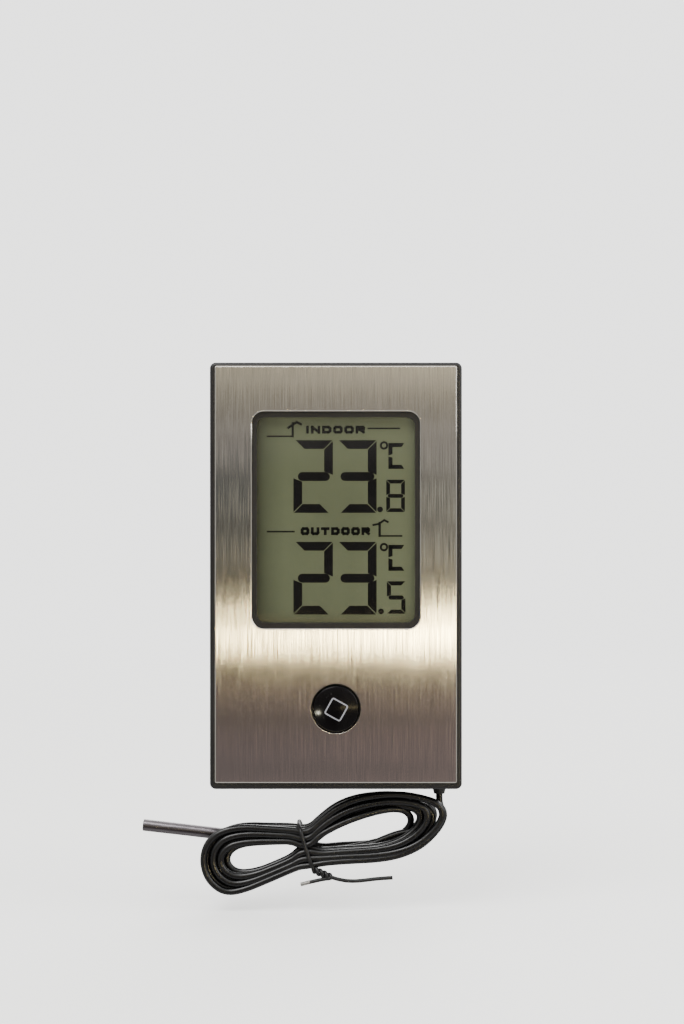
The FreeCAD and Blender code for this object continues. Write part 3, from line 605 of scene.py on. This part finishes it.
class Look:
    """A procedural material around one Principled shader."""

    def __init__(self, name, **sockets):
        self.material = bpy.data.materials.new(name)
        self.material.use_nodes = True
        self.tree = self.material.node_tree
        self.shader = self.tree.nodes["Principled BSDF"]
        for socket, value in sockets.items():
            self.shader.inputs[socket.replace("_", " ")].default_value = value
        self.coords = self.tree.nodes.new("ShaderNodeTexCoord").outputs["Object"]

    def add(self, kind, **inputs):
        made = self.tree.nodes.new(kind)
        for socket, value in inputs.items():
            self.put(made.inputs[socket.replace("_", " ")], value)
        return made

    def put(self, socket, value):
        if isinstance(value, bpy.types.NodeSocket):
            self.tree.links.new(value, socket)
        else:
            socket.default_value = value

    def noise(self, per_metre, detail=3.0, stretch=(1, 1, 1)):
        """Noise with about so many features a metre, stretched along an axis by a scale under 1."""
        mapping = self.add("ShaderNodeMapping", Vector=self.coords, Scale=[per_metre * s for s in stretch])
        made = self.add("ShaderNodeTexNoise", Vector=mapping.outputs["Vector"], Scale=1.0, Detail=detail)
        return made.outputs["Fac"]

    def spread(self, value, low, high, start=0.3, end=0.7):
        """value from start to end becomes low to high."""
        made = self.add("ShaderNodeMapRange", Value=value)
        for socket, number in zip(("From Min", "From Max", "To Min", "To Max"), (start, end, low, high)):
            made.inputs[socket].default_value = number
        return made.outputs["Result"]

    def blend(self, factor, first, second):
        made = self.tree.nodes.new("ShaderNodeMix")
        made.data_type = "RGBA"
        self.put(made.inputs["Factor"], factor)
        self.put(made.inputs["A"], first)
        self.put(made.inputs["B"], second)
        return made.outputs["Result"]

    def math(self, operation, first, second=0.0):
        made = self.tree.nodes.new("ShaderNodeMath")
        made.operation = operation
        self.put(made.inputs[0], first)
        self.put(made.inputs[1], second)
        return made.outputs["Value"]

    def bump(self, height, distance, strength):
        made = self.add("ShaderNodeBump", Height=height, Distance=distance, Strength=strength)
        return made.outputs["Normal"]

    def vector_math(self, operation, *vectors):
        made = self.tree.nodes.new("ShaderNodeVectorMath")
        made.operation = operation
        for socket, vector in zip(made.inputs, vectors):
            self.put(socket, vector)
        return made.outputs

    def round_normal(self, radius):
        """The surface's normal as if its edges were rounded."""
        bevel = self.add("ShaderNodeBevel", Radius=radius)
        bevel.samples = 4
        return bevel.outputs["Normal"]

    def edge(self, radius):
        """1 on edges and 0 on flat faces, for worn or polished edges."""
        true_normal = self.add("ShaderNodeNewGeometry").outputs["Normal"]
        along = self.vector_math("DOT_PRODUCT", self.round_normal(radius), true_normal)["Value"]
        return self.spread(self.math("SUBTRACT", 1.0, along), 0.0, 1.0, 0.02, 0.35)

    def use(self, **sockets):
        for socket, value in sockets.items():
            self.put(self.shader.inputs[socket.replace("_", " ")], value)
        return self.material


def brushed_aluminium():
    """Upright brush lines: each line tilts the surface a little sideways, and hardly up or down."""
    look = Look("brushed_aluminium", Metallic=1.0, Anisotropic=1.0)
    fine = look.noise(1, 1.0, (60000, 60000, 80))
    lines = look.noise(1, 2.0, (7000, 7000, 25))
    broad = look.noise(1, 3.0, (2600, 2600, 14))
    cloudy = look.noise(22, 2.0)
    tone = look.blend(look.spread(lines, 0, 1), srgb(224, 219, 209), srgb(234, 229, 219))
    tone = look.blend(look.spread(broad, 0, 0.22), tone, srgb(204, 198, 188))
    tone = look.blend(look.spread(cloudy, 0, 0.12), tone, srgb(210, 198, 190))
    across = look.add("ShaderNodeCombineXYZ", X=1.0, Y=0.0, Z=0.0)
    sideways = look.math("MULTIPLY", look.math("SUBTRACT", fine, 0.5), 0.85)
    upward = look.math("MULTIPLY", look.math("SUBTRACT", lines, 0.5), 0.005)
    tilt = look.add("ShaderNodeCombineXYZ", X=sideways, Y=0.0, Z=upward)
    tilted = look.vector_math("ADD", look.round_normal(0.15 * MM), tilt.outputs["Vector"])["Vector"]
    return look.use(
        Base_Color=tone,
        Roughness=look.math("ADD", look.spread(fine, 0.075, 0.1), look.spread(cloudy, -0.006, 0.006)),
        Tangent=across.outputs["Vector"],
        Normal=look.vector_math("NORMALIZE", tilted)["Vector"],
    )


def moulded_plastic(name, dark, light, roughness):
    """Spark-eroded plastic: a fine even grain, faint flow marks, and paler, glossier edges."""
    look = Look(name, Specular_IOR_Level=0.45)
    spark = look.noise(5200, 2.0)
    flow = look.noise(55, 3.0)
    worn = look.edge(0.4 * MM)
    edge_tone = [min(1, 3.2 * c + 0.02) for c in light[:3]] + [1.0]
    tone = look.blend(look.spread(flow, 0, 1), dark, light)
    tone = look.blend(look.math("MULTIPLY", worn, 0.25), tone, edge_tone)
    rough = look.spread(spark, roughness - 0.05, roughness + 0.05)
    rough = look.math("ADD", rough, look.spread(flow, -0.04, 0.04))
    rough = look.math("SUBTRACT", rough, look.math("MULTIPLY", worn, 0.08))
    return look.use(Base_Color=tone, Roughness=rough, Normal=look.bump(spark, 0.012 * MM, 0.6))


def plain_noise(name, dark, light, roughness, per_metre=400, depth=0.01 * MM, **sockets):
    """A simple surface: two close tones, uneven gloss and a fine bump."""
    look = Look(name, **sockets)
    fine = look.noise(per_metre, 3.0)
    cloud = look.noise(per_metre / 9, 2.0)
    both = look.math("MULTIPLY", look.math("ADD", fine, cloud), 0.5)
    return look.use(
        Base_Color=look.blend(look.spread(both, 0, 1), dark, light),
        Roughness=look.spread(fine, roughness - 0.06, roughness + 0.06),
        Normal=look.bump(fine, depth, 0.5),
    )


def button_plastic():
    """Glossy black with faint smears and a few specks of dust."""
    look = Look("button_plastic", Specular_IOR_Level=0.1)
    dust = look.noise(1500, 4.0)
    smear = look.noise(220, 3.0, (1, 1, 0.4))
    tone = look.blend(look.spread(smear, 0, 1), srgb(6, 5, 6), srgb(11, 10, 11))
    tone = look.blend(look.spread(dust, 0, 0.2, 0.68, 0.76), tone, srgb(82, 80, 78))
    return look.use(
        Base_Color=tone,
        Roughness=look.math("ADD", look.spread(smear, 0.15, 0.2), look.spread(dust, 0, 0.15, 0.62, 0.75)),
        Normal=look.bump(look.noise(5200, 2.0), 0.003 * MM, 0.12),
    )


def clear_sheet(name, index, dirt):
    """A clear sheet: a mirror as strong as the sheet's own reflection, over what lies behind it.

    index is the refractive index that gives this reflection, lower where a coat weakens it.
    """
    look = Look(name, Metallic=1.0)
    haze = look.noise(60, 3.0)
    facing = look.add("ShaderNodeLayerWeight", Blend=0.5).outputs["Facing"]
    straight_on = ((index - 1) / (index + 1)) ** 2
    grazing = look.math("MULTIPLY", look.math("POWER", facing, 5.0), 1 - straight_on)
    mirror = look.math("ADD", grazing, straight_on)
    return look.use(
        Base_Color=look.blend(look.spread(haze, 0, 1), srgb(236, 238, 236), srgb(252, 252, 250)),
        Roughness=look.spread(haze, 0.02, 0.05 + dirt),
        Alpha=look.math("ADD", mirror, look.spread(haze, 0.0, dirt)),
    )


def lcd_film():
    """The display's grey-green ground, with painted shade along its left edge and painted light towards its
    right.
    """
    look = Look("lcd_film", Specular_IOR_Level=0.3)
    grain = look.noise(2600, 2.0)
    cloud = look.noise(45, 3.0)
    tone = look.blend(look.spread(cloud, 0, 1), srgb(72, 77, 55), srgb(79, 84, 61))
    tone = look.blend(look.spread(grain, 0, 0.2), tone, srgb(65, 70, 49))
    # Painted shade: darker towards its left edge, standing in for the shadow of the case's left wall;
    # painted light: a little paler towards the right one.
    across = look.add("ShaderNodeSeparateXYZ", Vector=look.coords).outputs["X"]
    tone = look.blend(look.spread(across, 0.6, 0.0, -20.4 * MM, -13.0 * MM), tone, srgb(45, 48, 33))
    tone = look.blend(look.spread(across, 0.0, 0.5, 4.0 * MM, 20.4 * MM), tone, srgb(96, 101, 76))
    return look.use(
        Base_Color=tone,
        Roughness=look.spread(grain, 0.42, 0.55),
        Normal=look.bump(grain, 0.003 * MM, 0.3),
    )


def lcd_ink():
    """The display's dark segments and words."""
    look = Look("lcd_ink", Specular_IOR_Level=0.08)
    cloud = look.noise(160, 3.0)
    return look.use(
        Base_Color=look.blend(look.spread(cloud, 0, 1), srgb(4, 3, 4), srgb(9, 7, 8)),
        Roughness=look.spread(cloud, 0.5, 0.6),
    )


def board_laminate():
    """Green board: a fine weave, with paler tracks as a grid."""
    look = Look("board_laminate", Specular_IOR_Level=0.5, Coat_Weight=0.3, Coat_Roughness=0.2)
    weave = look.noise(2600, 2.0)
    tracks = look.add("ShaderNodeTexBrick", Vector=look.coords, Scale=260.0, Mortar_Size=0.03)
    for socket, grey in (("Color1", 0), ("Color2", 0), ("Mortar", 1)):
        tracks.inputs[socket].default_value = (grey, grey, grey, 1)
    tone = look.blend(look.spread(weave, 0, 1), srgb(18, 74, 44), srgb(26, 92, 54))
    tone = look.blend(tracks.outputs["Color"], tone, srgb(52, 128, 74))
    return look.use(
        Base_Color=tone,
        Roughness=look.spread(weave, 0.32, 0.45),
        Normal=look.bump(weave, 0.01 * MM, 0.3),
    )


def stainless():
    """Drawn steel: fine lines along the tube, a few darker stains."""
    look = Look("stainless", Metallic=1.0)
    lines = look.noise(1, 3.0, (60, 5200, 5200))
    stain = look.noise(180, 3.0)
    tone = look.blend(look.spread(lines, 0, 1), srgb(98, 94, 98), srgb(128, 123, 126))
    tone = look.blend(look.spread(stain, 0, 0.35, 0.5, 0.8), tone, srgb(84, 76, 74))
    return look.use(
        Base_Color=tone,
        Roughness=look.spread(lines, 0.19, 0.3),
        Normal=look.bump(lines, 0.002 * MM, 0.3),
    )


def cord_pvc():
    """Black PVC of a thin lead: satin, with faint flow marks and a little dust."""
    look = Look("cord_pvc", Specular_IOR_Level=0.5)
    flow = look.noise(700, 3.0)
    patch = look.noise(70, 2.0)
    dust = look.noise(2400, 3.0)
    tone = look.blend(look.spread(patch, 0, 1), srgb(5, 5, 6), srgb(12, 12, 13))
    tone = look.blend(look.spread(dust, 0, 0.25, 0.7, 0.78), tone, srgb(86, 84, 82))
    rough = look.math("ADD", look.spread(flow, 0.24, 0.34), look.spread(patch, -0.04, 0.04))
    return look.use(Base_Color=tone, Roughness=rough, Normal=look.bump(flow, 0.02 * MM, 0.25))


def tie_plastic():
    """Black plastic over wire, cut square: the far left end shows a silvery tip."""
    look = Look("tie_plastic", Specular_IOR_Level=0.45)
    flow = look.noise(900, 3.0)
    place = look.add("ShaderNodeSeparateXYZ", Vector=look.coords)
    bare = look.math("LESS_THAN", place.outputs["X"], BARE_END_X * MM)
    low = look.math("LESS_THAN", place.outputs["Z"], CASE_Z + BARE_END_Z * MM)
    bare = look.math("MULTIPLY", bare, low)
    black = look.blend(look.spread(flow, 0, 1), srgb(11, 11, 12), srgb(26, 25, 26))
    silver = look.blend(look.spread(flow, 0, 1), srgb(120, 118, 114), srgb(168, 165, 160))
    tone = look.blend(bare, black, silver)
    return look.use(
        Base_Color=tone,
        Metallic=look.math("MULTIPLY", bare, 0.8),
        Roughness=look.spread(flow, 0.34, 0.5),
        Normal=look.bump(flow, 0.03 * MM, 0.5),
    )


def metal(name, dark, light, roughness, per_metre=1500):
    return plain_noise(name, dark, light, roughness, per_metre, 0.006 * MM, Metallic=1.0)


def make_looks():
    return {
        "brushed_aluminium": brushed_aluminium(),
        "case_plastic": moulded_plastic("case_plastic", srgb(15, 14, 15), srgb(22, 21, 22), 0.46),
        "button_plastic": button_plastic(),
        "clear_acrylic": clear_sheet("clear_acrylic", 1.36, 0.006),
        "lcd_film": lcd_film(),
        "lcd_glass": clear_sheet("lcd_glass", 1.52, 0.004),
        "reflector_film": plain_noise(
            "reflector_film", srgb(150, 152, 128), srgb(170, 171, 148), 0.4, 1800,
        ),
        "holder_plastic": moulded_plastic("holder_plastic", srgb(196, 194, 186), srgb(212, 210, 202), 0.45),
        "carbon_rubber": plain_noise("carbon_rubber", srgb(30, 30, 32), srgb(92, 84, 80), 0.75, 2400),
        "adhesive": plain_noise("adhesive", srgb(205, 203, 196), srgb(226, 224, 216), 0.6, 900),
        "board_laminate": board_laminate(),
        "epoxy": plain_noise("epoxy", srgb(10, 10, 11), srgb(20, 20, 21), 0.25, 500, 0.02 * MM),
        "ceramic_body": plain_noise("ceramic_body", srgb(120, 92, 66), srgb(160, 128, 96), 0.5, 1600),
        "tinned_metal": metal("tinned_metal", srgb(170, 170, 168), srgb(214, 213, 210), 0.3),
        "spring_steel": metal("spring_steel", srgb(160, 156, 148), srgb(208, 204, 196), 0.26),
        "screw_steel": metal("screw_steel", srgb(78, 76, 76), srgb(128, 125, 122), 0.36),
        "stainless": stainless(),
        "cell_filling": plain_noise("cell_filling", srgb(36, 34, 32), srgb(54, 50, 46), 0.8, 900),
        "cell_wrap": plain_noise(
            "cell_wrap", srgb(16, 62, 118), srgb(24, 78, 138), 0.28, 300, 0.004 * MM,
            Coat_Weight=0.4, Coat_Roughness=0.12,
        ),
        "lead_red": plain_noise("lead_red", srgb(150, 18, 16), srgb(182, 28, 22), 0.42, 700),
        "lead_black": plain_noise("lead_black", srgb(16, 16, 17), srgb(30, 30, 31), 0.42, 700),
        "cord_pvc": cord_pvc(),
        "grommet_rubber": plain_noise(
            "grommet_rubber", srgb(17, 17, 18), srgb(31, 31, 31), 0.62, 1800, 0.02 * MM,
        ),
        "tie_plastic": tie_plastic(),
        "nylon": plain_noise("nylon", srgb(206, 204, 196), srgb(224, 222, 214), 0.5, 900),
        "knob_plastic": moulded_plastic("knob_plastic", srgb(176, 174, 168), srgb(196, 194, 188), 0.42),
    }


def paint(piece, material):
    if piece.material_slots:
        for place in piece.material_slots:
            place.material = material
    else:
        piece.data.materials.append(material)


# Floor, light and surroundings.

FLOOR_BELOW = 3 * MM
FLOOR_R = 1.1
FLOOR_RINGS, FLOOR_STEPS = 10, 64
FADE_START, FADE_END = 0.22, 0.95  # the floor fades out between these radii
BACKGROUND = (2.6, 2.6, 2.57, 1.0)


def make_floor():
    """A pale disc under the part, which fades into the background at its edge."""
    bm = bmesh.new()
    height = cad_low.z - FLOOR_BELOW
    turn = 2 * math.pi / FLOOR_STEPS
    centre = bm.verts.new((0, 0, height))
    before = None
    for k in range(1, FLOOR_RINGS + 1):
        radius = FLOOR_R * k / FLOOR_RINGS
        places = [(radius * math.cos(j * turn), radius * math.sin(j * turn)) for j in range(FLOOR_STEPS)]
        here = [bm.verts.new((*place, height)) for place in places]
        for j in range(FLOOR_STEPS):
            after = (j + 1) % FLOOR_STEPS
            if before is None:
                bm.faces.new((centre, here[j], here[after]))
            else:
                bm.faces.new((before[j], here[j], here[after], before[after]))
        before = here
    floor = mesh_object("floor", bm)
    look = Look("floor", Specular_IOR_Level=0.2, Roughness=0.8)
    away = look.vector_math("LENGTH", look.coords)["Value"]
    grain = look.noise(900, 3.0)
    paint(floor, look.use(
        Base_Color=look.blend(grain, srgb(232, 232, 230), srgb(240, 240, 238)),
        Alpha=look.spread(away, 1.0, 0.0, FADE_START, FADE_END),
        Emission_Color=srgb(246, 246, 244),
        Emission_Strength=0.9,
    ))
    floor.visible_glossy = False  # the metal front mirrors only the studio


def make_world():
    """Soft studio surroundings: a dim front with one low bright strip, and a pale sky and back."""
    world = bpy.data.worlds.new("studio")
    bpy.context.scene.world = world
    world.use_nodes = True
    tree = world.node_tree
    tree.nodes.clear()

    def add(kind, *inputs, **settings):
        made = tree.nodes.new(kind)
        for key, value in settings.items():
            setattr(made, key, value)
        for socket, value in zip(made.inputs, inputs):
            if isinstance(value, bpy.types.NodeSocket):
                tree.links.new(value, socket)
            elif value is not None:
                socket.default_value = value
        return made

    def calc(operation, first, second=None):
        return add("ShaderNodeMath", first, second, operation=operation).outputs[0]

    def ramp(value, low, high, stops):
        scaled = add("ShaderNodeMapRange", value, low, high, 0.0, 1.0).outputs[0]
        made = add("ShaderNodeValToRGB", scaled)
        elements = made.color_ramp.elements
        while len(elements) < len(stops):
            elements.new(0.5)
        for element, (place, colour) in zip(elements, stops):
            element.position = (place - low) / (high - low)
            element.color = (*colour, 1.0)
        return made.outputs["Color"]

    direction = add("ShaderNodeTexCoord").outputs["Generated"]
    split = add("ShaderNodeSeparateXYZ", direction)
    x, y, z = split.outputs
    ahead = calc("MAXIMUM", calc("MULTIPLY", y, -1.0), LEAST_AHEAD)
    slope = calc("DIVIDE", z, ahead)
    aside = calc("DIVIDE", x, ahead)

    def smooth(value, low, high):
        made = add("ShaderNodeMapRange", value, low, high, 0.0, 1.0, interpolation_type="SMOOTHSTEP")
        return made.outputs[0]

    def mix(factor, first, second):
        made = add("ShaderNodeMix", data_type="RGBA")
        for key, value in (("Factor", factor), ("A", first), ("B", second)):
            if isinstance(value, bpy.types.NodeSocket):
                tree.links.new(value, made.inputs[key])
            else:
                made.inputs[key].default_value = value
        return made.outputs["Result"]

    def column(stops):
        return ramp(slope, *SLOPES, stops)

    front = mix(smooth(aside, *LEFT_TO_AHEAD), column(LEFT_SIDE), column(AHEAD))
    front = mix(smooth(aside, *AHEAD_TO_RIGHT), front, column(RIGHT_SIDE))
    around = ramp(z, -1.0, 1.0, AROUND)
    lighting = mix(smooth(y, *FRONT_TO_AROUND), front, around)
    seen = add("ShaderNodeLightPath").outputs["Is Camera Ray"]
    shown = mix(seen, lighting, BACKGROUND)
    background = add("ShaderNodeBackground", shown, 1.0)
    output = add("ShaderNodeOutputWorld")
    tree.links.new(background.outputs[0], output.inputs["Surface"])


# Colour and brightness of the surroundings in front of the part, by slope: on the left, straight
# ahead and on the right. The bright band lies between -0.09 and -0.05.
SLOPES = (-0.35, 0.65)
# Sideways slopes between which the left blends into what is straight ahead, and that into the right.
LEFT_TO_AHEAD, AHEAD_TO_RIGHT = (-0.2, -0.06), (0.075, 0.215)
FRONT_TO_AROUND = (-0.88, -0.55)  # the same for the front and the rest, along Y
LEAST_AHEAD = 0.08  # keeps the slopes finite to the sides and behind
LEFT_SIDE = (
    (-0.35, (0.24, 0.22, 0.22)), (-0.145, (0.17, 0.14, 0.15)), (-0.1, (0.1, 0.08, 0.08)),
    (-0.081, (0.12, 0.1, 0.08)), (-0.07, (2.2, 1.85, 1.2)), (-0.0645, (2.4, 2.05, 1.4)),
    (-0.0545, (0.1, 0.1, 0.09)), (0.02, (0.075, 0.09, 0.1)), (0.05, (0.05, 0.05, 0.05)),
    (0.067, (0.12, 0.11, 0.09)), (0.085, (0.24, 0.22, 0.17)), (0.3, (0.5, 0.47, 0.4)),
    (0.65, (1.0, 0.98, 0.94)),
)
AHEAD = (
    (-0.35, (0.2, 0.17, 0.16)), (-0.14, (0.14, 0.12, 0.125)), (-0.1, (0.1, 0.085, 0.08)),
    (-0.084, (0.14, 0.12, 0.1)), (-0.075, (2.0, 1.7, 0.9)), (-0.067, (1.8, 1.5, 0.8)),
    (-0.059, (0.1, 0.09, 0.08)), (-0.036, (0.08, 0.08, 0.08)), (0.02, (0.1, 0.1, 0.1)),
    (0.035, (0.36, 0.34, 0.34)), (0.06, (0.46, 0.44, 0.4)), (0.085, (0.6, 0.56, 0.46)),
    (0.3, (0.5, 0.47, 0.4)), (0.65, (1.0, 0.98, 0.94)),
)
RIGHT_SIDE = (
    (-0.35, (0.36, 0.33, 0.32)), (-0.13, (0.32, 0.24, 0.23)), (-0.107, (0.38, 0.3, 0.27)),
    (-0.094, (0.45, 0.38, 0.33)), (-0.086, (2.4, 2.05, 1.6)), (-0.078, (36.0, 30.0, 16.0)),
    (-0.073, (60.0, 49.0, 24.0)), (-0.066, (60.0, 49.0, 24.0)), (-0.059, (10.0, 8.6, 5.4)),
    (-0.051, (1.0, 0.94, 0.74)), (-0.036, (0.6, 0.58, 0.49)), (0.02, (0.7, 0.68, 0.6)),
    (0.05, (0.24, 0.22, 0.18)), (0.067, (0.28, 0.25, 0.19)), (0.085, (1.2, 1.08, 0.82)),
    (0.3, (0.6, 0.57, 0.5)), (0.65, (1.2, 1.18, 1.12)),
)
# The same all round, by height, from straight down to straight up.
AROUND = (
    (-1.0, (0.7, 0.7, 0.69)), (-0.3, (0.45, 0.45, 0.44)), (0.1, (0.55, 0.55, 0.54)),
    (1.0, (1.6, 1.6, 1.57)),
)


def make_lights():
    def softbox(name, place, target, size, watts, shape="RECTANGLE"):
        data = bpy.data.lights.new(name, "AREA")
        data.shape = shape
        data.size, data.size_y = size
        data.energy = watts
        light = bpy.data.objects.new(name, data)
        light.location = place
        light.rotation_euler = (Vector(target) - Vector(place)).to_track_quat("-Z", "Y").to_euler()
        light.visible_camera = False
        bpy.context.scene.collection.objects.link(light)
        return light

    middle = (0.0, 0.0, CASE_Z)
    softbox("key", (-0.35, -0.55, 0.75), middle, (0.6, 0.6), 9.0)
    softbox("fill", (0.7, -0.25, 0.35), middle, (0.5, 0.7), 4.0)
    softbox("rear", (0.3, 0.9, 0.5), middle, (0.9, 0.6), 7.0)
    # A small lamp that lights the button only, for the spark on the left of its dome.
    spark = softbox("spark", (-0.28, -0.54, -0.197), middle, (0.05, 0.05), 5.0, "DISK")
    spark.data.color = (1.0, 0.97, 0.74)
    button_only = bpy.data.collections.new("lit_by_spark")
    button_only.objects.link(nodes["button_cap"])
    spark.light_linking.receiver_collection = button_only


def main():
    looks = make_looks()
    for part in frame["record"]["subparts"]:
        paint(nodes[part["node"]], looks[part["material_slot"]])
    paint(nodes["lcd_rear_glass"], looks["reflector_film"])

    make_camera()

    lead = spline_object("sensor_lead_flex", cord_points(), CORD_D / 2)
    paint(lead, looks["cord_pvc"])
    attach(lead, "case")
    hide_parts("sensor_lead", "sensor_hank", "probe_lead")

    tie = spline_object("wire_tie", tie_points(), TIE_R)
    paint(tie, looks["tie_plastic"])
    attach(tie, "case")
    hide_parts("twist_tie")

    ink = lcd_ink()
    segments = make_segments()
    captions = [make_caption(*caption) for caption in CAPTIONS]
    for piece in (segments, *captions):
        paint(piece, ink)
        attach(piece, "case")

    mark = make_mark()
    paint(mark, plain_noise("mark_ink", srgb(112, 113, 120), srgb(130, 130, 137), 0.45, 1500))
    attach(mark, "button")

    units = make_unit_marks()
    paint(units, plain_noise("unit_ink", srgb(150, 150, 150), srgb(170, 170, 169), 0.55, 1500))
    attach(units, "case")

    make_floor()
    make_world()
    make_lights()


main()
